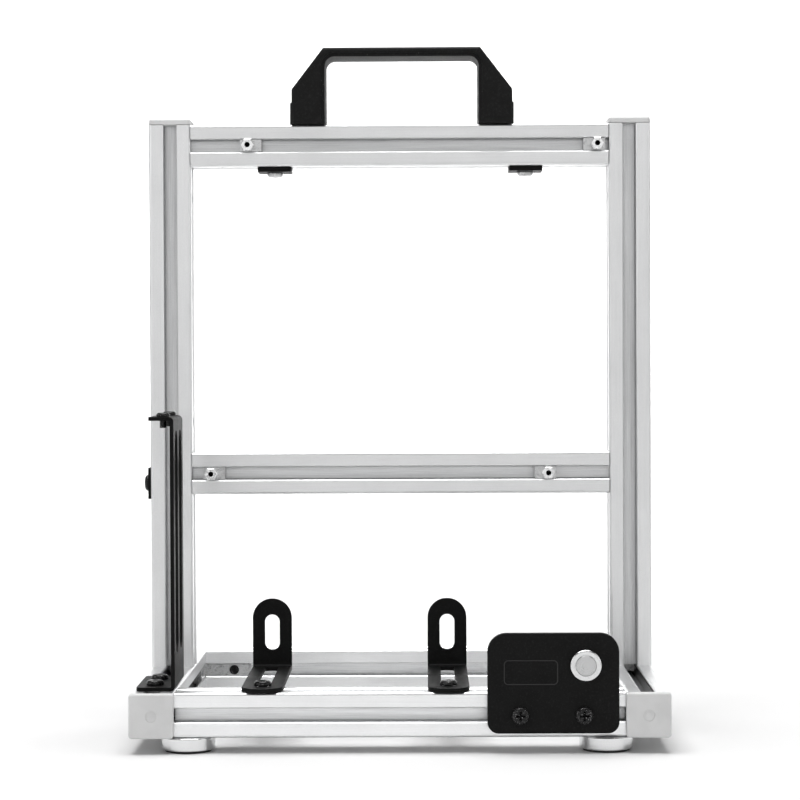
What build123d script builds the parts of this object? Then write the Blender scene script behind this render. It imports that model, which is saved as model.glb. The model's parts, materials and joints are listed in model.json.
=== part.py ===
from build123d import *
import os

os.makedirs("parts", exist_ok=True)

# Frame of a desktop laser cutter: a rectangular base, a portal of two posts and two cross rails,
# a carry handle, adjustable slotted brackets and a switch panel. All sizes are in millimetres.
#
# Places below are given in the frame's own terms: x from its middle plane, y back from the front
# face of the front rail, and z up from the top face of the base rails. at() turns them into the
# model's frame, whose origin is under the middle of the whole object, on the surface it stands on.

# --- Driving dimensions -----------------------------------------------------------------------
# T-slot extrusion, 20 mm square with 6 mm slots
PROFILE = 20.0
EDGE_R = 1.5
MOUTH = 6.2
MOUTH_BEVEL = 0.5
LIP = 1.8
CAVITY = 11.4
CAVITY_WALL = 3.1
SLOT_DEPTH = 6.1
BORE_D = 4.2

# Frame
BASE_WIDTH = 240.0
BASE_DEPTH = 180.0
POST_FRONT = 92.0
POST_HEIGHT = 260.0
MIDDLE_RAIL_Z = 93.0
CAP_T = 3.0
CAP_EDGE_R = 1.0
CAP_GAP = 0.3
CAP_SEAT = 17.0
CAP_PEG = (4.0, 6.0)
CAP_DIMPLE = (5.2, 0.4)

# Feet
FOOT_D = 24.0
FOOT_H = 6.0
FOOT_BEVEL = 0.5
COUNTERBORE = (9.6, 3.4)
PAD_D = 21.0
PAD_T = 1.0
PAD_EDGE_R = 0.3
FOOT_LEFT_X = -94.5
FOOT_RIGHT_X = 92.0

# Fasteners: thread, head diameter and head height
M3 = 3.0
M4 = 4.0
M5 = 5.0
M3_BUTTON = (6.2, 1.8)
M4_BUTTON = (7.8, 2.2)
M4_PAN = (7.8, 2.6)
M4_LOW_CAP = (7.0, 2.8)
M5_CAP = (8.5, 5.0)
CROWN = 0.7
PAN_CROWN = 0.6
SOCKET_SHARE = 0.65
CROSS_SHARE = 0.7
CROSS_WIDTH = 1.0
CROSS_SPAN = 0.55
CROSS_TAPER = 14.0
THREAD_GAP = 0.1
CLEAR_HOLE = 0.5
M3_SHORT = 5.0
M4_SHORT = 7.2
M4_PAN_LENGTH = 8.4
M5_LENGTH = 13.6
CAP_SCREW_CROWN = 0.2
M3_KEY = 2.0
M4_KEY = 2.5
M5_KEY = 4.0

# T-nuts and hidden corner connectors
NUT_LENGTH = 10.4
NUT_DROP = 0.3
NUT_DEPTH = 4.6
FLANGE = 10.6
NECK = 5.8
ARM = 21.8
ARM_SCREW = 14.3
ARM_ROOT = 1.0
ARM_BACK = 4.4
HEEL = 8.4
SET_SCREW_D = 4.8
SET_SCREW_SOCKET = (2.5, 2.0)

# Carry handle
HANDLE_X = 1.3
HANDLE_WIDTH = 106.6
HANDLE_TOP = 75.6
HANDLE_RISE = 37.0
HANDLE_LEG_RISE = 16.8
HANDLE_DEPTH = 24.0
HANDLE_GRIP = 5.4
HANDLE_GAP = 72.4
HANDLE_HOLES = 90.0
HANDLE_CROWN = 3.0
HANDLE_EDGE = 0.8
GRIP_R = 4.0
RIM = (2.3, 0.8)
CHEEK = (0.3, 10.5, 16.0)
CHEEK_ROOT = 5.0
M5_BORE = (9.4, 8.0)

# Slotted L-brackets
BRACKET_X = (-61.2, 21.8)
BRACKET_T = 2.0
BRACKET_WIDTH = 18.5
BRACKET_RISE = 34.0
BRACKET_LEG_Y = 80.0
BRACKET_TIP_Y = -2.5
LEG_SLOT = (16.8, 7.0)
LEG_SLOT_Z = 18.0
FOOT_SLOT_W = 6.4
FOOT_SLOT_Y = (5.6, 77.0)
BEND_R = 1.2
ROUND_END_R = BRACKET_WIDTH / 2 - 0.05

# Tall bracket on the left side rail
TALL_T = 1.7
TALL_FACE_X = -100.1
TALL_FRONT = 6.0
TALL_DEPTH = 41.0
TALL_HEIGHT = 122.2
TALL_FOOT = 17.4
TALL_TAB = 11.2
TALL_SLIT = (100.0, 11.5)
TALL_SLIT_Z = 66.0
TALL_SLIT_GAP = 6.0
TALL_CORNER_R = 2.0
TALL_BEND_R = 0.6
TALL_SCREW_Y = (16.0, 36.0)
TAB_SCREW_X = -105.4
TAB_SCREW_Y = (13.0, 40.0)

# Plates on the portal
CLAMP_X = (-60.0, 60.5)
CLAMP_SIZE = 16.0
CLAMP_T = 2.4
CLAMP_CORNER_R = 1.0
SIDE_PLATE_SIZE = 15.0
SIDE_PLATE_T = 1.5
SIDE_PLATE_Z = 88.2

# Hex standoffs in the front slots of the cross rails
STANDOFF_AF = 5.5
STANDOFF_LENGTH = 6.0
STANDOFF_BEVEL = 0.3
STANDOFF_DRILL = 2.5
STANDOFF_HOLE = 5.0
STANDOFF_TOP_X = (-72.4, 94.4)
STANDOFF_MIDDLE_X = (-90.6, 70.6)
NUT_SHIFT = 1.2

# Switch panel and push button
PANEL_X = 67.9
PANEL_Z = 4.2
PANEL_WIDTH = 58.2
PANEL_HEIGHT = 44.4
PANEL_T = 3.0
PANEL_TOP_R = 8.5
PANEL_BOTTOM_R = 5.0
PANEL_EDGE_R = 0.5
PANEL_SCREW_X = (53.3, 81.5)
MARK_X = 58.0
MARK_Z = 9.0
MARK_SIZE = (24.0, 11.0)
MARK_R = 2.0
MARK_LINE = 0.5
MARK_DEPTH = 0.2
BUTTON_X = 82.2
BUTTON_Z = 12.2
BEZEL_D = 14.0
BEZEL_T = 1.8
SEAL_T = 0.5
BARREL_D = 12.0
BARREL_LENGTH = 15.0
BUTTON_CAP_D = 9.0
BEZEL_R = 1.0
SEAL_INSET = 0.3
CAP_PROUD = 0.3
BUTTON_CAP_LENGTH = 5.0
BUTTON_CAP_R = 0.4
RUNNING_GAP = 0.1
STEM_D = 3.6
STEM_GRIP = 1.0
PRESS = 1.5
OVERTRAVEL = 0.5
BLOCK_DEPTH = 9.5
BLOCK_LENGTH = 9.0
RING_NUT = (15.0, 2.5)
SPRING_D = 6.0
SPRING_WIRE = 0.5
SPRING_TURNS = 3
SPRING_GAP = 0.05
TERMINAL = (2.0, 0.5, 5.0)
TERMINAL_PITCH = 4.0

# --- Derived sizes ----------------------------------------------------------------------------
HALF = PROFILE / 2
RAIL = BASE_WIDTH - 2 * PROFILE
SIDE_X = (BASE_WIDTH - PROFILE) / 2
POST_Y = POST_FRONT + HALF
TOP_RAIL_Z = POST_HEIGHT - HALF
BASE_TOP = PROFILE + FOOT_H + PAD_T
LEFTMOST = -BASE_WIDTH / 2 - SIDE_PLATE_T - M4_BUTTON[1]
FRONTMOST = -PANEL_T - M4_PAN[1]
ORIGIN_X = -(LEFTMOST + BASE_WIDTH / 2) / 2
ORIGIN_Y = -(FRONTMOST + BASE_DEPTH + CAP_T) / 2

RIGHT = (1, 0, 0)
LEFT = (-1, 0, 0)
BACK = (0, 1, 0)
FRONT = (0, -1, 0)
UP = (0, 0, 1)
DOWN = (0, 0, -1)


def at(x, y, z):
    """A point of the frame in the model's own coordinates."""
    return (ORIGIN_X + x, ORIGIN_Y + y, BASE_TOP + z)


def plane_at(x, y, z, outward, along=RIGHT):
    """A sketch plane at a point of the frame, facing outward, with its local x along the given way."""
    return Plane(origin=at(x, y, z), x_dir=along, z_dir=outward)


def keep(piece, name):
    """Label a finished piece and write it as one STEP file."""
    piece.label = name
    export_step(piece, f"parts/{name}.step")


def group(pieces):
    """Identical pieces that stay separate solids of one node."""
    with BuildPart() as together:
        for piece in pieces:
            add(piece)
    return together.part


def outer_edges(part, place):
    """The edges that lie furthest out along a plane's normal."""
    return part.edges().group_by(Axis(place.origin, place.z_dir))[-1]


# --- T-slot extrusion -------------------------------------------------------------------------
with BuildSketch() as t_slot:
    with BuildLine():
        Polyline(
            (0, HALF + MOUTH_BEVEL),
            (MOUTH / 2 + 2 * MOUTH_BEVEL, HALF + MOUTH_BEVEL),
            (MOUTH / 2, HALF - MOUTH_BEVEL),
            (MOUTH / 2, HALF - LIP),
            (CAVITY / 2, HALF - LIP),
            (CAVITY / 2, HALF - CAVITY_WALL),
            (CAVITY / 2 - SLOT_DEPTH + CAVITY_WALL, HALF - SLOT_DEPTH),
            (0, HALF - SLOT_DEPTH),
        )
        mirror(about=Plane.YZ)
    make_face()


def t_slot_bar(end, length):
    """A cut length of extrusion, drawn on the plane of one end."""
    with BuildPart() as bar:
        with BuildSketch(end):
            RectangleRounded(PROFILE, PROFILE, EDGE_R)
            Circle(BORE_D / 2, mode=Mode.SUBTRACT)
            with PolarLocations(0, 4):
                add(t_slot.sketch, mode=Mode.SUBTRACT)
        extrude(amount=length)
    return bar.part


keep(t_slot_bar(plane_at(-RAIL / 2, HALF, -HALF, RIGHT, BACK), RAIL), "front_rail")
keep(t_slot_bar(plane_at(-RAIL / 2, BASE_DEPTH - HALF, -HALF, RIGHT, BACK), RAIL), "rear_rail")
keep(t_slot_bar(plane_at(-RAIL / 2, POST_Y, TOP_RAIL_Z, RIGHT, BACK), RAIL), "top_rail")
keep(t_slot_bar(plane_at(-RAIL / 2, POST_Y, MIDDLE_RAIL_Z, RIGHT, BACK), RAIL), "middle_rail")
for side, x in (("left", -SIDE_X), ("right", SIDE_X)):
    keep(t_slot_bar(plane_at(x, 0, -HALF, BACK), BASE_DEPTH), f"{side}_side_rail")
    keep(t_slot_bar(plane_at(x, POST_Y, 0, UP), POST_HEIGHT), f"{side}_post")


# --- End caps ---------------------------------------------------------------------------------
def end_cap(place):
    """A moulded cap on a bar's end: a raised seat leaves a shadow gap round it, a peg grips the bore."""
    with BuildPart() as cap:
        with BuildSketch(place.offset(CAP_GAP)):
            RectangleRounded(PROFILE, PROFILE, EDGE_R)
        extrude(amount=CAP_T - CAP_GAP)
        fillet(outer_edges(cap, place), radius=CAP_EDGE_R)
        with BuildSketch(place.offset(CAP_T)):
            Circle(CAP_DIMPLE[0] / 2)
        extrude(amount=-CAP_DIMPLE[1], mode=Mode.SUBTRACT)
        with BuildSketch(place):
            RectangleRounded(CAP_SEAT, CAP_SEAT, EDGE_R)
        extrude(amount=CAP_GAP)
        with BuildSketch(place):
            Circle(CAP_PEG[0] / 2)
        extrude(amount=-CAP_PEG[1])
    return cap.part


for side, x in (("left", -SIDE_X), ("right", SIDE_X)):
    keep(end_cap(plane_at(x, 0, -HALF, FRONT)), f"{side}_front_cap")
    keep(end_cap(plane_at(x, BASE_DEPTH, -HALF, BACK)), f"{side}_rear_cap")
    keep(end_cap(plane_at(x, POST_Y, POST_HEIGHT, UP)), f"{side}_post_cap")


# --- Hidden corner connectors and their set screws --------------------------------------------
def corner_connector(x, y, z, along_a, along_b):
    """An L of two slot bars that joins two rails in their inner corner."""
    across = Vector(along_a).cross(Vector(along_b))
    place = plane_at(x, y, z, tuple(across), along_a)
    with BuildPart() as connector:
        with BuildSketch(place):
            with BuildLine():
                Polyline(
                    (-ARM_BACK, -ARM_BACK),
                    (ARM, -ARM_BACK),
                    (ARM, -NUT_DROP),
                    (-NUT_DROP, -NUT_DROP),
                    (-NUT_DROP, ARM),
                    (-ARM_BACK, ARM),
                    close=True,
                )
            make_face()
        extrude(amount=NECK / 2, both=True)
        middle = (ARM_ROOT + ARM) / 2
        for width, near, far in ((FLANGE, LIP, CAVITY_WALL), (HEEL, CAVITY_WALL, ARM_BACK)):
            with BuildSketch(place):
                with Locations((middle, -(near + far) / 2)):
                    Rectangle(ARM - ARM_ROOT, far - near)
                with Locations((-(near + far) / 2, middle)):
                    Rectangle(far - near, ARM - ARM_ROOT)
            extrude(amount=width / 2, both=True)
        for hole in screw_planes(x, y, z, along_a, along_b):
            with BuildSketch(hole):
                Circle((SET_SCREW_D + THREAD_GAP) / 2)
            extrude(amount=-ARM_BACK, mode=Mode.SUBTRACT)
    return connector.part


def screw_planes(x, y, z, along_a, along_b):
    """The planes of a connector's two set screws, facing out of the slots."""
    a = Vector(along_a)
    b = Vector(along_b)
    corner = Vector(*at(x, y, z))
    return (
        Plane(origin=corner + a * ARM_SCREW, x_dir=along_a, z_dir=along_b),
        Plane(origin=corner + b * ARM_SCREW, x_dir=along_b, z_dir=along_a),
    )


def set_screw(place):
    """A socket set screw, sunk a little below the slot's mouth, that bears on the slot's floor."""
    socket_af, socket_depth = SET_SCREW_SOCKET
    top = place.offset(-2 * NUT_DROP)
    with BuildPart() as piece:
        with BuildSketch(top):
            Circle(SET_SCREW_D / 2)
        extrude(amount=-(SLOT_DEPTH - 2 * NUT_DROP))
        with BuildSketch(top):
            RegularPolygon(socket_af / 2, 6, major_radius=False)
        extrude(amount=-socket_depth, mode=Mode.SUBTRACT)
    return piece.part


base_corners = [
    (side * RAIL / 2, y, -HALF, (-side, 0, 0), way)
    for side in (-1, 1)
    for y, way in ((PROFILE, BACK), (BASE_DEPTH - PROFILE, FRONT))
]
post_corners = [(x, POST_FRONT + PROFILE, 0, BACK, UP) for x in (-SIDE_X, SIDE_X)]
top_corners = [(s * RAIL / 2, POST_Y, POST_HEIGHT - PROFILE, (-s, 0, 0), DOWN) for s in (-1, 1)]
middle_corners = [(s * RAIL / 2, POST_Y, MIDDLE_RAIL_Z + HALF, (-s, 0, 0), UP) for s in (-1, 1)]
for name, corners in (
    ("base", base_corners),
    ("post_foot", post_corners),
    ("top_rail", top_corners),
    ("middle_rail", middle_corners),
):
    keep(group([corner_connector(*corner) for corner in corners]), f"{name}_connectors")
    places = [place for corner in corners for place in screw_planes(*corner)]
    keep(group([set_screw(place) for place in places]), f"{name}_set_screws")


# --- T-nuts and screws ------------------------------------------------------------------------
def t_nut(place, thread, shift=0.0):
    """A slot nut that bears on the lips from inside; its local x runs along the slot."""
    across = Plane(origin=place.origin, x_dir=place.y_dir, z_dir=place.x_dir)
    with BuildPart() as nut:
        with BuildSketch(across.offset(shift)):
            with BuildLine():
                Polyline(
                    (0, -NUT_DROP),
                    (NECK / 2, -NUT_DROP),
                    (NECK / 2, -LIP),
                    (FLANGE / 2, -LIP),
                    (FLANGE / 2, -CAVITY_WALL),
                    (FLANGE / 2 - NUT_DEPTH + CAVITY_WALL, -NUT_DEPTH),
                    (0, -NUT_DEPTH),
                )
                mirror(about=Plane.YZ)
            make_face()
        extrude(amount=NUT_LENGTH / 2, both=True)
        with BuildSketch(place):
            Circle((thread + THREAD_GAP) / 2)
        extrude(amount=-PROFILE / 2, mode=Mode.SUBTRACT)
    return nut.part


def screw(place, thread, head, length, socket, crown=CROWN):
    """A machine screw whose head bears on the place's plane; the crown rounds the head's top edge."""
    head_d, head_h = head
    with BuildPart() as piece:
        with BuildSketch(place):
            Circle(head_d / 2)
        extrude(amount=head_h)
        fillet(outer_edges(piece, place), radius=head_h * crown)
        with BuildSketch(place.offset(head_h)):
            RegularPolygon(socket / 2, 6, major_radius=False)
        extrude(amount=-head_h * SOCKET_SHARE, mode=Mode.SUBTRACT)
        with BuildSketch(place):
            Circle(thread / 2)
        extrude(amount=-length)
    return piece.part


def pan_screw(place, thread, head, length):
    """A pan-head screw with a cross recess."""
    head_d, head_h = head
    with BuildPart() as piece:
        with BuildSketch(place):
            Circle(head_d / 2)
        extrude(amount=head_h)
        fillet(outer_edges(piece, place), radius=head_h * PAN_CROWN)
        with BuildSketch(place.offset(head_h)):
            Rectangle(head_d * CROSS_SPAN, CROSS_WIDTH)
            Rectangle(CROSS_WIDTH, head_d * CROSS_SPAN)
        extrude(amount=-head_h * CROSS_SHARE, taper=CROSS_TAPER, mode=Mode.SUBTRACT)
        with BuildSketch(place):
            Circle(thread / 2)
        extrude(amount=-length)
    return piece.part


# --- Feet -------------------------------------------------------------------------------------
feet = {
    "front_left_foot": (FOOT_LEFT_X, HALF),
    "front_right_foot": (FOOT_RIGHT_X, HALF),
    "rear_left_foot": (FOOT_LEFT_X, BASE_DEPTH - HALF),
    "rear_right_foot": (FOOT_RIGHT_X, BASE_DEPTH - HALF),
}
pads = []
foot_screws = []
foot_nuts = []
for name, (x, y) in feet.items():
    under_rail = plane_at(x, y, -PROFILE, DOWN)
    sole = under_rail.offset(FOOT_H)
    with BuildPart() as foot:
        with BuildSketch(under_rail):
            Circle(FOOT_D / 2)
        extrude(amount=FOOT_H)
        rims = foot.edges().filter_by(GeomType.CIRCLE)
        chamfer(rims, length=FOOT_BEVEL)
        with BuildSketch(sole):
            Circle(COUNTERBORE[0] / 2)
        extrude(amount=-COUNTERBORE[1], mode=Mode.SUBTRACT)
        with BuildSketch(under_rail):
            Circle((M4 + CLEAR_HOLE) / 2)
        extrude(amount=FOOT_H, mode=Mode.SUBTRACT)
    keep(foot.part, name)

    with BuildPart() as pad:
        with BuildSketch(sole):
            Circle(PAD_D / 2)
            Circle(COUNTERBORE[0] / 2, mode=Mode.SUBTRACT)
        extrude(amount=PAD_T)
        fillet(outer_edges(pad, sole), radius=PAD_EDGE_R)
    pads.append(pad.part)
    foot_screws.append(
        screw(sole.offset(-COUNTERBORE[1]), M4, M4_LOW_CAP, M4_SHORT, M4_KEY, CAP_SCREW_CROWN)
    )
    foot_nuts.append(t_nut(under_rail, M4))
keep(group(pads), "foot_pads")
keep(group(foot_screws), "foot_screws")
keep(group(foot_nuts), "foot_nuts")


# --- Carry handle -----------------------------------------------------------------------------
handle_middle = plane_at(HANDLE_X, POST_Y, POST_HEIGHT, FRONT)
gap_middle = (HANDLE_RISE - HANDLE_GRIP) / 2 - HALF
gap_height = HANDLE_RISE - HANDLE_GRIP + PROFILE
rim_width, rim_depth = RIM
cheek_width, cheek_height, cheek_depth = CHEEK
with BuildPart() as handle:
    with BuildSketch(handle_middle):
        with BuildLine():
            Polyline(
                (-HANDLE_WIDTH / 2, -HALF),
                (HANDLE_WIDTH / 2, -HALF),
                (HANDLE_WIDTH / 2, HANDLE_LEG_RISE),
                (HANDLE_TOP / 2, HANDLE_RISE),
                (-HANDLE_TOP / 2, HANDLE_RISE),
                (-HANDLE_WIDTH / 2, HANDLE_LEG_RISE),
                close=True,
            )
        make_face()
    extrude(amount=HANDLE_DEPTH / 2, both=True, taper=HANDLE_CROWN)
    with BuildSketch(handle_middle):
        with Locations((0, gap_middle)):
            RectangleRounded(HANDLE_GAP, gap_height, GRIP_R)
    extrude(amount=HANDLE_DEPTH / 2, both=True, taper=-HANDLE_CROWN, mode=Mode.SUBTRACT)
    below = BASE_TOP + POST_HEIGHT - HALF + HANDLE_EDGE
    for face in handle.faces().filter_by(Axis.Y):
        chamfer(face.edges().filter_by(lambda edge: edge.center().Z > below), length=HANDLE_EDGE)
    for side in (-1, 1):
        with BuildSketch(handle_middle.offset(side * HANDLE_DEPTH / 2)):
            with Locations((0, gap_middle)):
                RectangleRounded(HANDLE_GAP + 2 * rim_width, gap_height + 2 * rim_width, GRIP_R + rim_width)
        extrude(amount=-side * rim_depth, mode=Mode.SUBTRACT)
    with BuildSketch(plane_at(HANDLE_X, POST_Y, POST_HEIGHT, UP)):
        for side in (-1, 1):
            with Locations((side * (HANDLE_WIDTH - CHEEK_ROOT + cheek_width) / 2, 0)):
                Rectangle(CHEEK_ROOT + cheek_width, cheek_depth)
    extrude(amount=cheek_height)
    split(bisect_by=plane_at(0, 0, POST_HEIGHT, UP), keep=Keep.TOP)
    for side in (-1, 1):
        seat = plane_at(HANDLE_X + side * HANDLE_HOLES / 2, POST_Y, POST_HEIGHT, UP)
        with BuildSketch(seat):
            Circle((M5 + CLEAR_HOLE) / 2)
        extrude(amount=HANDLE_RISE, mode=Mode.SUBTRACT)
        with BuildSketch(seat.offset(M5_BORE[1])):
            Circle(M5_BORE[0] / 2)
        extrude(amount=HANDLE_RISE, mode=Mode.SUBTRACT)
keep(handle.part, "carry_handle")

handle_seats = [plane_at(HANDLE_X + s * HANDLE_HOLES / 2, POST_Y, POST_HEIGHT, UP) for s in (-1, 1)]
handle_screws = [
    screw(seat.offset(M5_BORE[1]), M5, M5_CAP, M5_LENGTH, M5_KEY, CAP_SCREW_CROWN) for seat in handle_seats
]
keep(group(handle_screws), "handle_screws")
keep(group([t_nut(seat, M5) for seat in handle_seats]), "handle_nuts")


# --- Plates on the portal ---------------------------------------------------------------------
def flat_plate(place, size, thickness, corner_r):
    """A square sheet plate with one central screw hole, lying on the place's plane."""
    with BuildPart() as plate:
        with BuildSketch(place):
            RectangleRounded(size, size, corner_r)
            Circle((M4 + CLEAR_HOLE) / 2, mode=Mode.SUBTRACT)
        extrude(amount=thickness)
    return plate.part


clamp_places = [plane_at(x, POST_Y, POST_HEIGHT - PROFILE, DOWN) for x in CLAMP_X]
for side, place in zip(("left", "right"), clamp_places):
    keep(flat_plate(place, CLAMP_SIZE, CLAMP_T, CLAMP_CORNER_R), f"{side}_clamp_plate")
clamp_screws = [screw(place.offset(CLAMP_T), M4, M4_BUTTON, M4_SHORT, M4_KEY) for place in clamp_places]
keep(group(clamp_screws), "clamp_plate_screws")
keep(group([t_nut(place, M4) for place in clamp_places]), "clamp_plate_nuts")

side_place = plane_at(-BASE_WIDTH / 2, POST_Y, SIDE_PLATE_Z, LEFT, UP)
keep(flat_plate(side_place, SIDE_PLATE_SIZE, SIDE_PLATE_T, CLAMP_CORNER_R), "side_plate")
keep(screw(side_place.offset(SIDE_PLATE_T), M4, M4_BUTTON, M4_SHORT, M4_KEY), "side_plate_screw")
keep(t_nut(side_place, M4), "side_plate_nut")


# --- Hex standoffs on the cross rails ---------------------------------------------------------
def standoff(place):
    """A hexagonal spacer with a tapped hole in front and a threaded stud behind."""
    with BuildPart() as spacer:
        with BuildSketch(place.offset(-NUT_DROP)):
            RegularPolygon(STANDOFF_AF / 2, 6, major_radius=False)
        extrude(amount=STANDOFF_LENGTH + NUT_DROP)
        chamfer(outer_edges(spacer, place), length=STANDOFF_BEVEL)
        with BuildSketch(place.offset(STANDOFF_LENGTH)):
            Circle(STANDOFF_DRILL / 2)
        extrude(amount=-STANDOFF_HOLE, mode=Mode.SUBTRACT)
        with BuildSketch(place.offset(-NUT_DROP)):
            Circle(M3 / 2)
        extrude(amount=-(NUT_DEPTH - NUT_DROP))
    return spacer.part


standoff_places = [plane_at(x, POST_FRONT, TOP_RAIL_Z, FRONT) for x in STANDOFF_TOP_X]
standoff_places += [plane_at(x, POST_FRONT, MIDDLE_RAIL_Z, FRONT) for x in STANDOFF_MIDDLE_X]
shifts = [NUT_SHIFT, -NUT_SHIFT, NUT_SHIFT, -NUT_SHIFT]
keep(group([standoff(place) for place in standoff_places]), "hex_standoffs")
keep(group([t_nut(place, M3, shift) for place, shift in zip(standoff_places, shifts)]),
     "standoff_nuts")


# --- Slotted L-brackets -----------------------------------------------------------------------
def slotted_bracket(x):
    """A bent strip with round ends: a long slotted foot on the front rail and a slotted leg behind."""
    with BuildPart() as bracket:
        with BuildSketch(plane_at(x, 0, 0, RIGHT, BACK)):
            with BuildLine():
                Polyline(
                    (BRACKET_TIP_Y, 0),
                    (BRACKET_LEG_Y + BRACKET_T, 0),
                    (BRACKET_LEG_Y + BRACKET_T, BRACKET_RISE),
                    (BRACKET_LEG_Y, BRACKET_RISE),
                    (BRACKET_LEG_Y, BRACKET_T),
                    (BRACKET_TIP_Y, BRACKET_T),
                    close=True,
                )
            make_face()
        extrude(amount=BRACKET_WIDTH / 2, both=True)
        along_bend = bracket.edges().filter_by(Axis.X)
        outer_bend = along_bend.sort_by_distance(at(x, BRACKET_LEG_Y + BRACKET_T, 0))[0]
        inner_bend = along_bend.sort_by_distance(at(x, BRACKET_LEG_Y, BRACKET_T))[0]
        fillet(outer_bend, radius=BEND_R + BRACKET_T)
        fillet(inner_bend, radius=BEND_R)
        fillet(bracket.edges().filter_by(Axis.Y).group_by(Axis.Z)[-1], radius=ROUND_END_R)
        fillet(bracket.edges().filter_by(Axis.Z).group_by(Axis.Y)[0], radius=ROUND_END_R)
        with BuildSketch(plane_at(x, BRACKET_LEG_Y, LEG_SLOT_Z, FRONT)):
            SlotOverall(*LEG_SLOT, rotation=90)
        extrude(amount=-BRACKET_T, mode=Mode.SUBTRACT)
        front, rear = FOOT_SLOT_Y
        with BuildSketch(plane_at(x, (front + rear) / 2, 0, UP)):
            SlotOverall(rear - front, FOOT_SLOT_W, rotation=90)
        extrude(amount=BRACKET_T, mode=Mode.SUBTRACT)
    return bracket.part


for side, x in zip(("left", "right"), BRACKET_X):
    keep(slotted_bracket(x), f"{side}_bracket")
bracket_seats = [plane_at(x, HALF, 0, UP) for x in BRACKET_X]
keep(group([screw(seat.offset(BRACKET_T), M4, M4_BUTTON, M4_SHORT, M4_KEY) for seat in bracket_seats]),
     "bracket_screws")
keep(group([t_nut(seat, M4) for seat in bracket_seats]), "bracket_nuts")


# --- Tall slotted bracket ---------------------------------------------------------------------
tall_middle = TALL_FRONT + TALL_DEPTH / 2
tall_back_x = TALL_FACE_X - TALL_T
slit_pitch = TALL_SLIT[1] + TALL_SLIT_GAP
with BuildPart() as tall_bracket:
    with BuildSketch(plane_at(TALL_FACE_X, tall_middle, 0, FRONT)):
        with BuildLine():
            Polyline(
                (0, 0),
                (0, TALL_HEIGHT),
                (-TALL_TAB, TALL_HEIGHT),
                (-TALL_TAB, TALL_HEIGHT - TALL_T),
                (-TALL_T, TALL_HEIGHT - TALL_T),
                (-TALL_T, TALL_T),
                (-TALL_FOOT, TALL_T),
                (-TALL_FOOT, 0),
                close=True,
            )
        make_face()
    extrude(amount=TALL_DEPTH / 2, both=True)
    bends = tall_bracket.edges().filter_by(Axis.Y)
    for z, facing in ((0, 1), (TALL_HEIGHT, -1)):
        outer = bends.sort_by_distance(at(TALL_FACE_X, tall_middle, z))[0]
        inner = bends.sort_by_distance(at(tall_back_x, tall_middle, z + facing * TALL_T))[0]
        fillet(outer, radius=TALL_BEND_R + TALL_T)
        fillet(inner, radius=TALL_BEND_R)
        bends = tall_bracket.edges().filter_by(Axis.Y)
    corners = tall_bracket.edges().filter_by(Axis.Z).group_by(Axis.X)[0]
    fillet(corners, radius=TALL_CORNER_R)
    with BuildSketch(plane_at(TALL_FACE_X, tall_middle, TALL_SLIT_Z, RIGHT, BACK)):
        with Locations((-slit_pitch / 2, 0), (slit_pitch / 2, 0)):
            SlotOverall(*TALL_SLIT, rotation=90)
    extrude(amount=-TALL_T, mode=Mode.SUBTRACT)
    for y in TALL_SCREW_Y:
        with BuildSketch(plane_at(-SIDE_X, y, 0, UP)):
            Circle((M4 + CLEAR_HOLE) / 2)
        extrude(amount=TALL_T, mode=Mode.SUBTRACT)
    for y in TAB_SCREW_Y:
        with BuildSketch(plane_at(TAB_SCREW_X, y, TALL_HEIGHT, UP)):
            Circle((M3 + THREAD_GAP) / 2)
        extrude(amount=-TALL_T, mode=Mode.SUBTRACT)
keep(tall_bracket.part, "tall_bracket")

tall_seats = [plane_at(-SIDE_X, y, 0, UP, BACK) for y in TALL_SCREW_Y]
tab_seats = [plane_at(TAB_SCREW_X, y, TALL_HEIGHT, UP) for y in TAB_SCREW_Y]
keep(group([screw(seat.offset(TALL_T), M4, M4_BUTTON, M4_SHORT, M4_KEY) for seat in tall_seats]),
     "tall_bracket_screws")
keep(group([t_nut(seat, M4) for seat in tall_seats]), "tall_bracket_nuts")
keep(group([screw(seat, M3, M3_BUTTON, M3_SHORT, M3_KEY) for seat in tab_seats]), "tab_screws")


# --- Switch panel -----------------------------------------------------------------------------
panel_back = plane_at(PANEL_X, 0, PANEL_Z, FRONT)
screw_seats = [plane_at(x, 0, -HALF, FRONT) for x in PANEL_SCREW_X]
button_seat = plane_at(BUTTON_X, -PANEL_T, BUTTON_Z, FRONT)
with BuildPart() as panel:
    with BuildSketch(panel_back) as face:
        Rectangle(PANEL_WIDTH, PANEL_HEIGHT)
        fillet(face.vertices().group_by(Axis.Y)[-1], radius=PANEL_TOP_R)
        fillet(face.vertices().group_by(Axis.Y)[0], radius=PANEL_BOTTOM_R)
    extrude(amount=PANEL_T)
    fillet(outer_edges(panel, panel_back), radius=PANEL_EDGE_R)
    with BuildSketch(button_seat):
        Circle(BARREL_D / 2 + THREAD_GAP)
    extrude(amount=-PANEL_T, mode=Mode.SUBTRACT)
    for seat in screw_seats:
        with BuildSketch(seat):
            Circle((M4 + CLEAR_HOLE) / 2)
        extrude(amount=PANEL_T, mode=Mode.SUBTRACT)
    with BuildSketch(plane_at(MARK_X, -PANEL_T, MARK_Z, FRONT)):
        RectangleRounded(*MARK_SIZE, MARK_R)
        RectangleRounded(
            MARK_SIZE[0] - 2 * MARK_LINE,
            MARK_SIZE[1] - 2 * MARK_LINE,
            MARK_R - MARK_LINE,
            mode=Mode.SUBTRACT,
        )
    extrude(amount=-MARK_DEPTH, mode=Mode.SUBTRACT)
keep(panel.part, "switch_panel")
keep(group([pan_screw(seat.offset(PANEL_T), M4, M4_PAN, M4_PAN_LENGTH) for seat in screw_seats]),
     "panel_screws")
keep(group([t_nut(seat, M4) for seat in screw_seats]), "panel_nuts")


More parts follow.
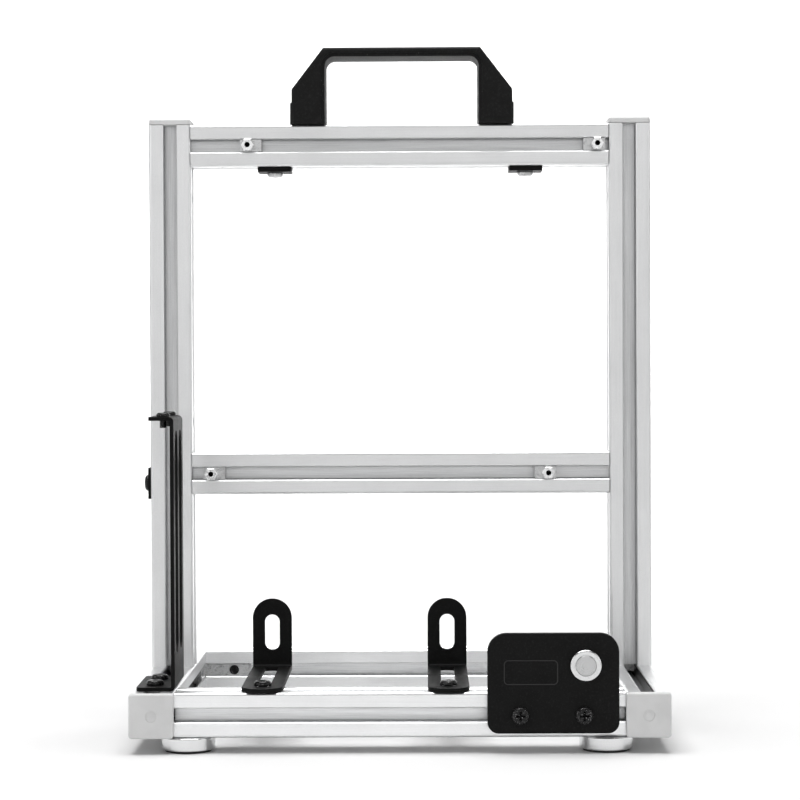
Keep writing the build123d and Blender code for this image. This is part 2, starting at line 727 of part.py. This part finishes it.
# --- Push button ------------------------------------------------------------------------------
# Depths are counted inwards from the panel's front face.
barrel_bore = BUTTON_CAP_D + 2 * RUNNING_GAP
ring_nut_af, ring_nut_t = RING_NUT
bezel_back = button_seat.offset(SEAL_T)
cap_front = bezel_back.offset(BEZEL_T + CAP_PROUD)

with BuildPart() as seal:
    with BuildSketch(button_seat):
        Circle(BEZEL_D / 2 - SEAL_INSET)
        Circle(BARREL_D / 2 + THREAD_GAP, mode=Mode.SUBTRACT)
    extrude(amount=SEAL_T)
keep(seal.part, "button_seal")

with BuildPart() as housing:
    with BuildSketch(bezel_back):
        Circle(BEZEL_D / 2)
    extrude(amount=BEZEL_T)
    fillet(outer_edges(housing, bezel_back), radius=BEZEL_R)
    with BuildSketch(bezel_back):
        Circle(BARREL_D / 2)
    extrude(amount=-BARREL_LENGTH)
    with BuildSketch(bezel_back.offset(BEZEL_T)):
        Circle(barrel_bore / 2)
    extrude(amount=-(BEZEL_T + BARREL_LENGTH), mode=Mode.SUBTRACT)
keep(housing.part, "button_housing")

with BuildPart() as button_cap:
    with BuildSketch(cap_front):
        Circle(BUTTON_CAP_D / 2)
    extrude(amount=-BUTTON_CAP_LENGTH)
    fillet(outer_edges(button_cap, cap_front), radius=BUTTON_CAP_R)
    with BuildSketch(cap_front.offset(-BUTTON_CAP_LENGTH)):
        Circle(STEM_D / 2)
    extrude(amount=-(BLOCK_DEPTH + STEM_GRIP - BUTTON_CAP_LENGTH))
keep(button_cap.part, "button_cap")

block_face = cap_front.offset(-BLOCK_DEPTH)
with BuildPart() as block:
    with BuildSketch(block_face):
        Circle(barrel_bore / 2)
    extrude(amount=-BLOCK_LENGTH)
    with BuildSketch(block_face):
        Circle(STEM_D / 2 + RUNNING_GAP)
    extrude(amount=-(STEM_GRIP + PRESS + OVERTRAVEL), mode=Mode.SUBTRACT)
keep(block.part, "button_contact_block")

spring_length = BLOCK_DEPTH - BUTTON_CAP_LENGTH - SPRING_WIRE - 2 * SPRING_GAP
spring_start = block_face.offset(SPRING_WIRE / 2 + SPRING_GAP)
with BuildPart() as spring:
    with BuildLine() as coil:
        Helix(
            pitch=spring_length / SPRING_TURNS,
            height=spring_length,
            radius=SPRING_D / 2,
            center=spring_start.origin,
            direction=spring_start.z_dir,
        )
    with BuildSketch(Plane(origin=coil.line @ 0, z_dir=coil.line % 0)):
        Circle(SPRING_WIRE / 2)
    sweep(is_frenet=True)
keep(spring.part, "button_spring")

with BuildPart() as ring_nut:
    with BuildSketch(plane_at(BUTTON_X, 0, BUTTON_Z, BACK)):
        RegularPolygon(ring_nut_af / 2, 6, major_radius=False, rotation=30)
        Circle((BARREL_D + THREAD_GAP) / 2, mode=Mode.SUBTRACT)
    extrude(amount=ring_nut_t)
keep(ring_nut.part, "button_nut")

with BuildPart() as terminals:
    with BuildSketch(block_face.offset(-BLOCK_LENGTH)):
        with GridLocations(TERMINAL_PITCH, TERMINAL_PITCH, 2, 2):
            Rectangle(TERMINAL[0], TERMINAL[1])
    extrude(amount=-TERMINAL[2])
keep(terminals.part, "button_terminals")
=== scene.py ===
import json
import math

import bmesh
import bpy
from mathutils import Matrix, Vector


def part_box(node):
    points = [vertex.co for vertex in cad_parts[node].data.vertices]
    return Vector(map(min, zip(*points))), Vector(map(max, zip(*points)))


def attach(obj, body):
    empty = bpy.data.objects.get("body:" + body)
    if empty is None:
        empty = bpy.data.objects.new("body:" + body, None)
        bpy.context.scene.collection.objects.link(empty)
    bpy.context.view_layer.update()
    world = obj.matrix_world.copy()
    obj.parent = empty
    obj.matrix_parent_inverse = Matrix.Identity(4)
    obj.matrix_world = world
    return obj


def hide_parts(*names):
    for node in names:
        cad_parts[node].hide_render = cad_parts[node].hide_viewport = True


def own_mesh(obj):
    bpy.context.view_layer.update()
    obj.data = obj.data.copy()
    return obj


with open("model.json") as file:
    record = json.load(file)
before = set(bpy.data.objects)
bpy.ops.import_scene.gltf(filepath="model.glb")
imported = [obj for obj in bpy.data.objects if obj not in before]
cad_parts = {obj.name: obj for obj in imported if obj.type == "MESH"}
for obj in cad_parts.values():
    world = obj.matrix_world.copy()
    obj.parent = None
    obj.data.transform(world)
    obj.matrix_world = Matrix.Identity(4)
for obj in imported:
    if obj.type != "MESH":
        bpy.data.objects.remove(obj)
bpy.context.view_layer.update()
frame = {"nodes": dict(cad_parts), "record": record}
nodes = frame["nodes"]
MM = 0.001


# --- Node material helpers --------------------------------------------------------------------
class Graph:
    """A node tree with short calls for the nodes that are used most."""

    def __init__(self, tree):
        self.tree = tree

    def node(self, kind, inputs=None, **settings):
        made = self.tree.nodes.new(kind)
        for key, value in settings.items():
            setattr(made, key, value)
        for key, value in (inputs or {}).items():
            if isinstance(value, bpy.types.NodeSocket):
                self.tree.links.new(value, made.inputs[key])
            else:
                made.inputs[key].default_value = value
        return made

    def math(self, operation, *values):
        inputs = dict(enumerate(values))
        return self.node("ShaderNodeMath", inputs, operation=operation).outputs[0]

    def parts(self, vector):
        """The X, Y and Z outputs of a vector."""
        return self.node("ShaderNodeSeparateXYZ", {0: vector}).outputs

    def span(self, value, low, high, start=0.3, end=0.7, curve="LINEAR"):
        """A value brought from start..end to low..high."""
        inputs = {"Value": value, "From Min": start, "From Max": end, "To Min": low, "To Max": high}
        return self.node("ShaderNodeMapRange", inputs, interpolation_type=curve).outputs[0]


class Shader(Graph):
    """A Principled material with short calls for its procedural inputs."""

    def __init__(self, name, metallic=0.0, specular=0.5):
        self.material = bpy.data.materials.new(name)
        self.material.use_nodes = True
        super().__init__(self.material.node_tree)
        self.surface = self.tree.nodes["Principled BSDF"]
        self.surface.inputs["Metallic"].default_value = metallic
        self.surface.inputs["Specular IOR Level"].default_value = specular
        self.place = self.tree.nodes.new("ShaderNodeTexCoord").outputs["Object"]

    def vector_math(self, operation, inputs):
        return self.node("ShaderNodeVectorMath", inputs, operation=operation)

    def mapped(self, scale, centre=(0, 0, 0)):
        """The place on the object, measured from a centre and scaled along each axis."""
        moved = self.vector_math("ADD", {0: self.place, 1: tuple(-c for c in centre)}).outputs[0]
        return self.vector_math("MULTIPLY", {0: moved, 1: scale}).outputs[0]

    def distance(self, scale, centre):
        """How far the place is from a centre, along the axes whose scale is 1."""
        return self.vector_math("LENGTH", {0: self.mapped(scale, centre)}).outputs["Value"]

    def noise(self, size, detail=3.0, roughness=0.55, vector=None):
        """Noise whose features are about this many metres across."""
        inputs = {
            "Vector": vector or self.place,
            "Scale": 1.0 / size,
            "Detail": detail,
            "Roughness": roughness,
        }
        return self.node("ShaderNodeTexNoise", inputs).outputs["Fac"]

    def specks(self, size, share):
        """Small sparse dots: 1 inside a speck and 0 elsewhere."""
        cells = self.node("ShaderNodeTexVoronoi", {"Vector": self.place, "Scale": 1.0 / size})
        near = self.span(cells.outputs["Distance"], 1.0, 0.0, 0.10, 0.22)
        rare = self.span(cells.outputs["Color"], 0.0, 1.0, 1.0 - share, 1.0 - share * 0.9)
        return self.math("MULTIPLY", near, rare)

    def blend(self, factor, first, second):
        """A colour between two colours or colour sockets."""
        mixed = self.node("ShaderNodeMix", data_type="RGBA")
        self.tree.links.new(factor, mixed.inputs["Factor"])
        for key, value in (("A", first), ("B", second)):
            socket = next(s for s in mixed.inputs if s.name == key and s.type == "RGBA")
            if isinstance(value, bpy.types.NodeSocket):
                self.tree.links.new(value, socket)
            else:
                socket.default_value = (*value, 1.0)
        return next(s for s in mixed.outputs if s.type == "RGBA")

    def bump(self, height, depth, strength, over=None):
        """Surface relief of this depth in metres, on top of other relief."""
        inputs = {"Height": height, "Distance": depth, "Strength": strength}
        if over:
            inputs["Normal"] = over
        return self.node("ShaderNodeBump", inputs).outputs[0]

    def finish(self, colour, roughness, normal=None):
        links = self.tree.links
        links.new(colour, self.surface.inputs["Base Color"])
        links.new(roughness, self.surface.inputs["Roughness"])
        if normal:
            links.new(normal, self.surface.inputs["Normal"])
        return self.material


def grey(level, tint=0.0):
    """A neutral colour, cooler where tint is above zero."""
    return (level * (1 - tint), level, level * (1 + tint))


# --- Materials --------------------------------------------------------------------------------
DIE_LINE_STRETCH = 0.015
# How far in from a bar's faces the slots' painted light and shade is full, and where it starts.
SLOT_MASK = (1.5 * MM, 0.5 * MM)


def anodised(name, along, centre, half, level, slot_painted_level):
    """Satin clear-anodised extrusion: die lines along the bar, fine grain, and rougher slots.

    The inside of the slots is painted a grey level of its own for each bar, as painted light and shade.
    """
    shader = Shader(name, metallic=1.0)
    stretch = tuple(DIE_LINE_STRETCH if a == along else 1.0 for a in "xyz")
    lines = shader.noise(0.35 * MM, 4.0, 0.6, shader.mapped(stretch))
    broad_lines = shader.noise(1.6 * MM, 2.0, 0.5, shader.mapped(stretch))
    grain = shader.noise(0.14 * MM, 2.0)
    clouds = shader.noise(26 * MM, 3.0)
    parts = shader.parts(shader.mapped((1, 1, 1), centre))
    reach = [shader.math("ABSOLUTE", parts[a.upper()]) for a in "xyz" if a != along]
    outer = shader.math("MAXIMUM", *reach)
    inside = shader.span(outer, 1.0, 0.0, *(half - inset for inset in SLOT_MASK))
    tone = shader.math("ADD", shader.span(lines, 0.0, 0.5), shader.span(clouds, 0.0, 0.5))
    # The face's grey level is set for each bar as painted light and shade.
    face = shader.blend(tone, grey(level * 0.94, 0.006), grey(level * 1.06, 0.004))
    face = shader.blend(shader.span(grain, 0.0, 0.45, 0.45, 0.66), face, grey(level * 0.78, 0.006))
    face = shader.blend(shader.specks(0.9 * MM, 0.05), face, grey(level * 0.5, 0.01))
    # The slots' colours are painted light and shade, and are much darker than the faces on the side
    # rails.
    slot_painted_dark = grey(slot_painted_level * 0.87, 0.008)
    slot_painted_light = grey(slot_painted_level * 1.13, 0.006)
    slot = shader.blend(shader.span(lines, 0.0, 1.0), slot_painted_dark, slot_painted_light)
    slot = shader.blend(shader.span(grain, 0.0, 0.6, 0.5, 0.68), slot, grey(slot_painted_level * 0.6, 0.01))
    colour = shader.blend(inside, face, slot)
    roughness = shader.math("ADD", shader.span(broad_lines, 0.26, 0.38), shader.span(grain, 0.0, 0.10))
    roughness = shader.math("ADD", roughness, shader.span(inside, 0.0, 0.10, 0.0, 1.0))
    relief = shader.bump(lines, 0.005 * MM, 0.6)
    relief = shader.bump(grain, 0.010 * MM, 0.6, relief)
    return shader.finish(colour, roughness, relief)


def turned(name, centre, axis, level, shine):
    """Lathe-turned metal: fine rings about an axis through the centre, with a soft sheen change."""
    shader = Shader(name, metallic=1.0)
    radius = shader.distance(tuple(float(a != axis) for a in "xyz"), centre)
    depth = shader.distance(tuple(float(a == axis) for a in "xyz"), centre)
    both = shader.node("ShaderNodeCombineXYZ", {"X": radius, "Y": depth}).outputs[0]
    rings = shader.noise(0.16 * MM, 3.0, 0.6, both)
    smudge = shader.noise(6 * MM, 3.0)
    colour = shader.blend(shader.span(rings, 0.0, 1.0), grey(level, 0.005), grey(level * 1.12, 0.005))
    sheen = shader.span(smudge, shine, shine + 0.08)
    roughness = shader.math("ADD", shader.span(rings, 0.0, 0.08), sheen)
    return shader.finish(colour, roughness, shader.bump(rings, 0.006 * MM, 0.5))


def plated(name, level, tint, shine):
    """Plated metal with faint blotches, pores and darker stains."""
    shader = Shader(name, metallic=1.0)
    blotch = shader.noise(1.4 * MM, 4.0)
    pores = shader.noise(0.18 * MM, 2.0)
    bright = grey(level * 1.25, tint / 2)
    colour = shader.blend(shader.span(blotch, 0.0, 1.0), grey(level, tint), bright)
    colour = shader.blend(shader.span(pores, 0.0, 0.7, 0.54, 0.70), colour, grey(level * 0.35))
    stains = shader.noise(3.2 * MM, 5.0, 0.7)
    colour = shader.blend(shader.span(stains, 0.0, 0.6, 0.54, 0.72), colour, grey(level * 0.4))
    sheen = shader.span(blotch, shine, shine + 0.12)
    roughness = shader.math("ADD", sheen, shader.span(pores, 0.0, 0.1))
    return shader.finish(colour, roughness, shader.bump(pores, 0.02 * MM, 0.5))


def black_oxide(name):
    """Oiled black oxide on steel: dark and glossy, with small spots rubbed down to bare metal."""
    shader = Shader(name, specular=0.22)
    patches = shader.noise(0.9 * MM, 4.0)
    grain = shader.noise(0.12 * MM, 2.0)
    colour = shader.blend(shader.span(patches, 0.0, 1.0), grey(0.003), grey(0.012, 0.01))
    worn = shader.span(shader.noise(0.55 * MM, 4.0, 0.7), 0.0, 1.0, 0.60, 0.68)
    colour = shader.blend(worn, colour, grey(0.45))
    shader.tree.links.new(worn, shader.surface.inputs["Metallic"])
    roughness = shader.math("ADD", shader.span(patches, 0.12, 0.26), shader.span(grain, 0.0, 0.08))
    return shader.finish(colour, roughness, shader.bump(grain, 0.012 * MM, 0.6))


# How far from a groove's floor its paler tone is full, and where it ends.
GROOVE_EDGE = (0.06 * MM, 0.09 * MM)


def textured_black(name, level, grain_size, grain_depth, shine, speck_share, specular, groove_y=None):
    """Black coat or moulding: an even fine texture, slight mottling, and a few pale dust specks.

    The floor of an engraved groove, at this depth in y, is paler than the rest.
    """
    shader = Shader(name, specular=specular)
    grain = shader.noise(grain_size, 3.0, 0.6)
    mottle = shader.noise(9 * MM, 4.0)
    fine = shader.noise(grain_size * 0.35, 2.0)
    colour = shader.blend(shader.span(mottle, 0.0, 1.0), grey(level * 0.75), grey(level * 1.3))
    colour = shader.blend(shader.span(fine, 0.0, 0.35, 0.5, 0.75), colour, grey(level * 3.2))
    flecks = shader.noise(0.9 * MM, 5.0, 0.75)
    colour = shader.blend(shader.span(flecks, 0.0, 0.8, 0.52, 0.70), colour, grey(level * 4.0))
    colour = shader.blend(shader.specks(1.0 * MM, speck_share), colour, grey(0.12))
    if groove_y is not None:
        off = shader.math("ABSOLUTE", shader.math("SUBTRACT", shader.parts(shader.place)["Y"], groove_y))
        colour = shader.blend(shader.span(off, 1.0, 0.0, *GROOVE_EDGE), colour, grey(0.045))
    sheen = shader.span(grain, shine, shine + 0.14)
    roughness = shader.math("ADD", sheen, shader.span(mottle, 0.0, 0.05))
    relief = shader.bump(grain, grain_depth, 0.7)
    relief = shader.bump(fine, grain_depth * 0.4, 0.6, relief)
    return shader.finish(colour, roughness, relief)


def moulded_grey(name):
    """Light grey moulded plastic with a fine matt texture."""
    shader = Shader(name, specular=0.35)
    grain = shader.noise(0.25 * MM, 3.0)
    mottle = shader.noise(12 * MM, 3.0)
    colour = shader.blend(shader.span(mottle, 0.0, 1.0), grey(0.58), grey(0.64))
    colour = shader.blend(shader.span(grain, 0.0, 0.2, 0.5, 0.7), colour, grey(0.51))
    roughness = shader.span(grain, 0.42, 0.58)
    return shader.finish(colour, roughness, shader.bump(grain, 0.018 * MM, 0.5))


def rubber(name):
    """Matt black rubber with a dusty, slightly uneven face."""
    shader = Shader(name, specular=0.25)
    dust = shader.noise(1.2 * MM, 5.0)
    grain = shader.noise(0.2 * MM, 2.0)
    colour = shader.blend(shader.span(dust, 0.0, 1.0), grey(0.012), grey(0.035))
    roughness = shader.span(grain, 0.7, 0.9)
    return shader.finish(colour, roughness, shader.bump(grain, 0.03 * MM, 0.7))


# Each extrusion's direction, and the level of its faces and of the inside of its slots. The bars are
# one extrusion: the differing levels are painted light and shade, lighter on the base rails near the
# floor and darkest in the side rails' slots.
BAR_PAINTED_LEVELS = {
    "front_rail": ("x", 0.86, 0.84),
    "rear_rail": ("x", 0.92, 0.96),
    "top_rail": ("x", 0.745, 0.71),
    "middle_rail": ("x", 0.76, 0.74),
    "left_side_rail": ("y", 0.80, 0.20),
    "right_side_rail": ("y", 0.80, 0.20),
    "left_post": ("z", 0.77, 0.71),
    "right_post": ("z", 0.755, 0.71),
}
# How deep the rectangle on the switch panel is engraved.
MARK_DEPTH = 0.2 * MM


def centre_of(node):
    low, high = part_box(node)
    return (low + high) / 2


BUTTON_AXIS = centre_of("button_cap")
rail_low, rail_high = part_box("front_rail")
BAR_HALF = (rail_high.z - rail_low.z) / 2
panel_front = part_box("switch_panel")[0].y
stainless = turned("turned_stainless", tuple(BUTTON_AXIS), "y", level=0.68, shine=0.14)
by_slot = {
    "grey_plastic": moulded_grey("cap_plastic"),
    "rubber": rubber("rubber_black"),
    "black_plastic": textured_black(
        "handle_nylon",
        level=0.0050,
        grain_size=0.32 * MM,
        grain_depth=0.035 * MM,
        shine=0.46,
        speck_share=0.20,
        specular=0.13,
    ),
    "panel_plastic": textured_black(
        "panel_moulding",
        level=0.0045,
        grain_size=0.24 * MM,
        grain_depth=0.025 * MM,
        shine=0.50,
        speck_share=0.40,
        specular=0.10,
        groove_y=panel_front + MARK_DEPTH,
    ),
    "black_steel": textured_black(
        "powder_coat",
        level=0.0030,
        grain_size=0.50 * MM,
        grain_depth=0.025 * MM,
        shine=0.40,
        speck_share=0.03,
        specular=0.09,
    ),
    "switch_plastic": textured_black(
        "switch_moulding",
        level=0.02,
        grain_size=0.2 * MM,
        grain_depth=0.01 * MM,
        shine=0.4,
        speck_share=0.005,
        specular=0.35,
    ),
    "black_oxide_steel": black_oxide("black_oxide"),
    "zinc_steel": plated("zinc_plate", level=0.50, tint=0.006, shine=0.20),
    "plated_brass": plated("tinned_brass", level=0.62, tint=-0.02, shine=0.28),
    "stainless_steel": stainless,
}
by_node = {
    "button_cap": turned("button_cap_face", tuple(BUTTON_AXIS), "y", level=0.50, shine=0.22),
    "hex_standoffs": plated("bright_plate", level=0.78, tint=0.004, shine=0.16),
}
for node, (along, level, slot_painted_level) in BAR_PAINTED_LEVELS.items():
    centre = tuple(centre_of(node))
    by_node[node] = anodised(f"{node}_anodised", along, centre, BAR_HALF, level, slot_painted_level)


def material_of(node, slot):
    """The material of a CAD node: a foot's rings are turned round its own axis."""
    if slot == "polished_aluminium":
        return turned(f"{node}_metal", tuple(centre_of(node)), "z", level=0.70, shine=0.12)
    return by_node.get(node) or by_slot[slot]


for row in frame["record"]["subparts"]:
    mesh = nodes[row["node"]].data
    mesh.materials.clear()
    mesh.materials.append(material_of(row["node"], row["material_slot"]))


# --- Edges of the CAD nodes -------------------------------------------------------------------
WELD_DISTANCE = 0.002 * MM
EDGE_ANGLE = math.radians(32)
EDGE_SEGMENTS = 2
FACE_WEIGHT = 60


def soften(node, width):
    """Welds a CAD node's faces and rounds its sharp edges, as real edges are."""
    piece = nodes[node]
    piece.data.shade_smooth()
    weld = piece.modifiers.new("weld", "WELD")
    weld.merge_threshold = WELD_DISTANCE
    bevel = piece.modifiers.new("edges", "BEVEL")
    bevel.width = width
    bevel.segments = EDGE_SEGMENTS
    bevel.limit_method = "ANGLE"
    bevel.angle_limit = EDGE_ANGLE
    bevel.harden_normals = True
    bevel.use_clamp_overlap = True
    normals = piece.modifiers.new("normals", "WEIGHTED_NORMAL")
    normals.keep_sharp = True
    normals.weight = FACE_WEIGHT


EDGE_WIDTH = {
    "anodised_aluminium": 0.14 * MM,
    "grey_plastic": 0.22 * MM,
    "black_plastic": 0.35 * MM,
    "panel_plastic": 0.10 * MM,
    "black_steel": 0.22 * MM,
    "polished_aluminium": 0.20 * MM,
    "stainless_steel": 0.08 * MM,
    "black_oxide_steel": 0.07 * MM,
    "zinc_steel": 0.08 * MM,
    "plated_brass": 0.06 * MM,
    "switch_plastic": 0.08 * MM,
    "rubber": 0.10 * MM,
}
# The button's spring stays as it is, because the scene's own coil replaces it.
for row in frame["record"]["subparts"]:
    if row["node"] != "button_spring":
        soften(row["node"], EDGE_WIDTH[row["material_slot"]])


# --- Screw threads and the button's spring ----------------------------------------------------
# The height of a thread's flank, as a share of its pitch.
FLANK_RISE = 0.44


def around(steps):
    """Angles spaced evenly round a full turn."""
    return [2 * math.pi * step / steps for step in range(steps)]


def lathe(shape, place, profile, steps=28):
    """Adds a closed ring: an outline of (radius, depth) points turned round the place's z axis."""
    rings = [
        [
            shape.verts.new(place @ Vector((radius * math.cos(a), radius * math.sin(a), -depth)))
            for radius, depth in profile
        ]
        for a in around(steps)
    ]
    for ring, after in zip(rings, rings[1:] + rings[:1]):
        for start in range(len(profile)):
            end = (start + 1) % len(profile)
            shape.faces.new((ring[start], ring[end], after[end], after[start]))


def ridge(shape, place, root, crest, start, length, pitch, steps=28):
    """Adds a V-shaped thread that winds round the place's z axis, down from its origin."""
    section = [(root, -FLANK_RISE * pitch), (crest, 0.0), (root, FLANK_RISE * pitch)]
    rows = []
    for step in range(round(length / pitch * steps) + 1):
        a = 2 * math.pi * step / steps
        depth = start + pitch * step / steps
        rows.append([
            shape.verts.new(place @ Vector((radius * math.cos(a), radius * math.sin(a), -depth - rise)))
            for radius, rise in section
        ])
    for row, after in zip(rows, rows[1:]):
        for first, second in ((0, 1), (1, 2), (2, 0)):
            shape.faces.new((row[first], row[second], after[second], after[first]))
    shape.faces.new(rows[0])
    shape.faces.new(rows[-1])


def coil(shape, start, end, radius, wire, turns, steps=24, sides=8):
    """Adds a round-wire coil whose axis runs along y from start to end."""
    rings = []
    for step in range(turns * steps + 1):
        a = 2 * math.pi * step / steps
        outward = Vector((math.cos(a), 0, math.sin(a)))
        middle = start.lerp(end, step / (turns * steps)) + outward * radius
        rings.append([
            shape.verts.new(middle + (outward * math.cos(b) + Vector((0, math.sin(b), 0))) * wire / 2)
            for b in around(sides)
        ])
    for ring, after in zip(rings, rings[1:]):
        for first in range(sides):
            second = (first + 1) % sides
            shape.faces.new((ring[first], ring[second], after[second], after[first]))
    shape.faces.new(rings[0])
    shape.faces.new(rings[-1])


def piece_of(shape, name, body, material):
    """Turns drawn mesh into a piece that rides on a body."""
    bmesh.ops.recalc_face_normals(shape, faces=shape.faces)
    mesh = bpy.data.meshes.new(name)
    shape.to_mesh(mesh)
    shape.free()
    mesh.materials.append(material)
    piece = bpy.data.objects.new(name, mesh)
    bpy.context.scene.collection.objects.link(piece)
    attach(piece, body)
    return piece


def facing(point, axis):
    """A matrix with its origin at a point and its z along an axis."""
    turn = Vector(axis).to_track_quat("Z", "Y")
    return Matrix.Translation(Vector(point)) @ turn.to_matrix().to_4x4()


# Near-black painted shade for the inside of the standoffs' threaded holes.
bore_shade = textured_black(
    "painted_bore_shade",
    level=0.0015,
    grain_size=0.2 * MM,
    grain_depth=0.01 * MM,
    shine=0.55,
    speck_share=0.0,
    specular=0.04,
)

# Each standoff's hole has a thread, and a low dark cone that stands on its bottom. Both are painted
# shade, near-black, and the cone is a dark plug put where the hole's bottom lies in shade. The radii
# are shares of the hole's: the thread's root sinks into the wall and its crest stands inside it. The
# cone's outline gives a share of the radius and a height above the bottom at each of its points.
STANDOFF_PITCH = 0.5 * MM
STANDOFF_ROOT = 1.01
STANDOFF_CREST = 0.84
STANDOFF_LEAD = 0.3 * MM
STANDOFF_RUNOUT = 0.5 * MM
CONE_OUTLINE = ((0.02, 0.05 * MM), (0.99, 0.05 * MM), (0.02, 0.5 * MM))
standoff_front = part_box("hex_standoffs")[0].y
for mount in frame["record"]["mounts"]:
    if mount["name"].endswith("standoff_thread"):
        hole_r = mount["dims"]["r_mm"] * MM
        depth = mount["dims"]["length_mm"] * MM
        x, _, z = mount["pos_m"]
        place = facing((x, standoff_front, z), mount["axis"])
        shape = bmesh.new()
        ridge(
            shape,
            place,
            root=hole_r * STANDOFF_ROOT,
            crest=hole_r * STANDOFF_CREST,
            start=STANDOFF_LEAD,
            length=depth - STANDOFF_LEAD - STANDOFF_RUNOUT,
            pitch=STANDOFF_PITCH,
        )
        lathe(shape, place, [(share * hole_r, depth - rise) for share, rise in CONE_OUTLINE])
        piece_of(shape, mount["name"] + "_ridge", "frame", bore_shade)

# The barrel's thread runs from the nut's back to the barrel's end.
BARREL_RADIUS = 6.0 * MM
BARREL_SINK = 0.05 * MM
BARREL_RISE = 0.28 * MM
BARREL_PITCH = 1.0 * MM
BARREL_LEAD = 0.6 * MM
housing_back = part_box("button_housing")[1].y
nut_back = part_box("button_nut")[1].y
shape = bmesh.new()
ridge(
    shape,
    facing((BUTTON_AXIS.x, nut_back, BUTTON_AXIS.z), (0, -1, 0)),
    root=BARREL_RADIUS - BARREL_SINK,
    crest=BARREL_RADIUS + BARREL_RISE,
    start=BARREL_LEAD,
    length=housing_back - nut_back - 2 * BARREL_LEAD,
    pitch=BARREL_PITCH,
)
piece_of(shape, "barrel_thread", "frame", stainless)

# The coil stands in for the CAD's spring.
SPRING_WIRE = 0.5 * MM
SPRING_TURNS = 3
spring_low, spring_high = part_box("button_spring")
shape = bmesh.new()
coil(
    shape,
    start=Vector((BUTTON_AXIS.x, spring_low.y + SPRING_WIRE / 2, BUTTON_AXIS.z)),
    end=Vector((BUTTON_AXIS.x, spring_high.y - SPRING_WIRE / 2, BUTTON_AXIS.z)),
    radius=(spring_high.x - spring_low.x - SPRING_WIRE) / 2,
    wire=SPRING_WIRE,
    turns=SPRING_TURNS,
)
spring = piece_of(shape, "return_spring", "frame", by_slot["zinc_steel"])
spring.data.shade_smooth()
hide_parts("button_spring")
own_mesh(spring)


# --- Floor, lights and camera -----------------------------------------------------------------
BEND_STEPS = 16


def backdrop(width, front, back, height, bend):
    """A plain sheet that runs along the floor and curves up behind the object."""
    mesh = bpy.data.meshes.new("backdrop")
    shape = bmesh.new()
    path = [(front, 0.0), (back - bend, 0.0)]
    for step in range(1, BEND_STEPS + 1):
        a = math.pi / 2 * step / BEND_STEPS
        path.append((back - bend + bend * math.sin(a), bend - bend * math.cos(a)))
    path.append((back, height))
    rows = [[shape.verts.new((side * width / 2, y, z)) for side in (-1, 1)] for y, z in path]
    for low, high in zip(rows, rows[1:]):
        shape.faces.new((low[0], low[1], high[1], high[0]))
    shape.to_mesh(mesh)
    shape.free()
    mesh.shade_smooth()
    sheet = bpy.data.objects.new("backdrop", mesh)
    bpy.context.scene.collection.objects.link(sheet)
    shader = Shader("studio_paper", specular=0.1)
    fibre = shader.noise(2 * MM, 3.0)
    colour = shader.blend(fibre, grey(0.70), grey(0.73))
    mesh.materials.append(shader.finish(colour, shader.span(fibre, 0.8, 0.95)))


def area_light(name, place, aim, size, power, spread=180):
    """A rectangular lamp of this power in watts, turned toward a point."""
    light = bpy.data.lights.new(name, "AREA")
    light.shape = "RECTANGLE"
    light.size, light.size_y = size
    light.energy = power
    light.spread = math.radians(spread)
    lamp = bpy.data.objects.new(name, light)
    lamp.location = place
    lamp.rotation_euler = (Vector(aim) - Vector(place)).to_track_quat("-Z", "Y").to_euler()
    bpy.context.scene.collection.objects.link(lamp)


backdrop(width=7.0, front=-3.0, back=1.9, height=1.0, bend=0.4)
area_light("key_softbox", (-0.06, 0.02, 1.35), aim=(0, 0.04, 0.0), size=(1.1, 1.1), power=26)
area_light("left_softbox", (-1.5, -0.5, 0.7), aim=(0, 0, 0.15), size=(0.8, 1.2), power=5)
area_light("right_softbox", (1.5, -0.4, 0.7), aim=(0, 0, 0.15), size=(0.8, 1.2), power=4)
area_light(
    "backdrop_wash", (0.0, 0.75, 1.5), aim=(0, 1.6, 0.25), size=(2.4, 0.5), power=26, spread=110
)

# The room's light: bright at the height of the object and below, dim overhead and to both sides.
world = bpy.data.worlds.new("studio")
world.use_nodes = True
sky = Graph(world.node_tree)
direction = sky.parts(sky.node("ShaderNodeTexCoord").outputs["Generated"])
sideways = sky.math("ABSOLUTE", direction["X"])
overhead = sky.span(direction["Z"], 1.08, 0.12, start=0.25, end=0.60, curve="SMOOTHSTEP")
to_sides = sky.span(sideways, 1.0, 0.30, start=0.62, end=0.88, curve="SMOOTHSTEP")
background = sky.tree.nodes["Background"]
sky.tree.links.new(sky.math("MULTIPLY", overhead, to_sides), background.inputs["Color"])
bpy.context.scene.world = world
bpy.context.scene.view_settings.view_transform = "Standard"

CAMERA_LENS = 110.3
CAMERA_PLACE = (0.0134, -1.1708, 0.1743)
CAMERA_PITCH = -0.0165
CAMERA_ROLL = 0.0044
CAMERA_YAW = 0.0099
camera = bpy.data.objects.new("camera", bpy.data.cameras.new("camera"))
camera.data.lens = CAMERA_LENS
camera.location = CAMERA_PLACE
camera.rotation_euler = (math.pi / 2 + CAMERA_PITCH, CAMERA_ROLL, CAMERA_YAW)
bpy.context.scene.collection.objects.link(camera)
bpy.context.scene.camera = camera
